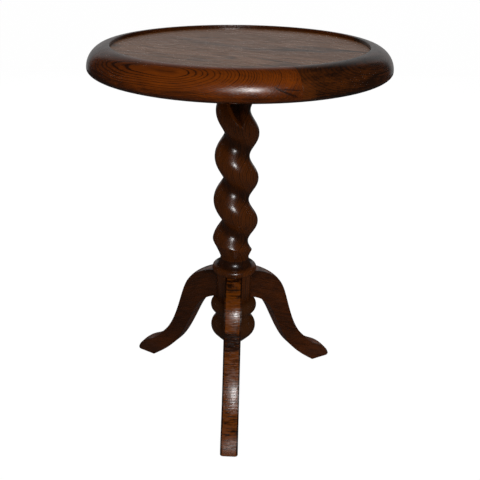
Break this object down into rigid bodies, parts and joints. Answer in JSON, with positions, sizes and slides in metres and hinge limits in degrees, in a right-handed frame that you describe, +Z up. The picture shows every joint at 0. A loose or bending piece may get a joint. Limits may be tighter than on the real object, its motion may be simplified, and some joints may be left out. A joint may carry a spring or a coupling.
{
  "type": "pedestal side table",
  "caption": "Round pedestal side table with a shallow dished top, a barley-twist column, a turned drop and three S-shaped legs.",
  "frame": {"origin": "on the floor under the column's axis", "axes": "+Z up along the column, the front leg points to -Y, +X to the right seen from the front"},
  "size_m": [0.46, 0.46, 0.6125],
  "materials": {
    "rim_oak": "dark red-brown stain under satin lacquer, bold flat-sawn grain",
    "board_oak": "dark red-brown stain under satin lacquer, straight grain",
    "turned_oak": "dark red-brown stain under satin lacquer, turned",
    "leg_oak": "dark red-brown stain under satin lacquer, sawn edges",
    "raw_beech": "untreated joinery wood of the tongues and the wedge",
    "screw_steel": "plain steel, slightly dull"
  },
  "bodies": {
    "root": {"rim_piece_1": "rim_oak", "rim_piece_2": "rim_oak", "rim_piece_3": "rim_oak", "rim_piece_4": "rim_oak", "rim_tongues": "raw_beech", "tray_board_1": "board_oak", "tray_board_2": "board_oak", "tray_board_3": "board_oak", "tray_board_4": "board_oak", "tray_board_5": "board_oak", "bearer_block": "board_oak", "bearer_screws": "screw_steel", "column": "turned_oak", "tenon_wedge": "raw_beech", "drop_finial": "turned_oak", "leg_front": "leg_oak", "leg_right": "leg_oak", "leg_left": "leg_oak"}
  },
  "joints": []
}
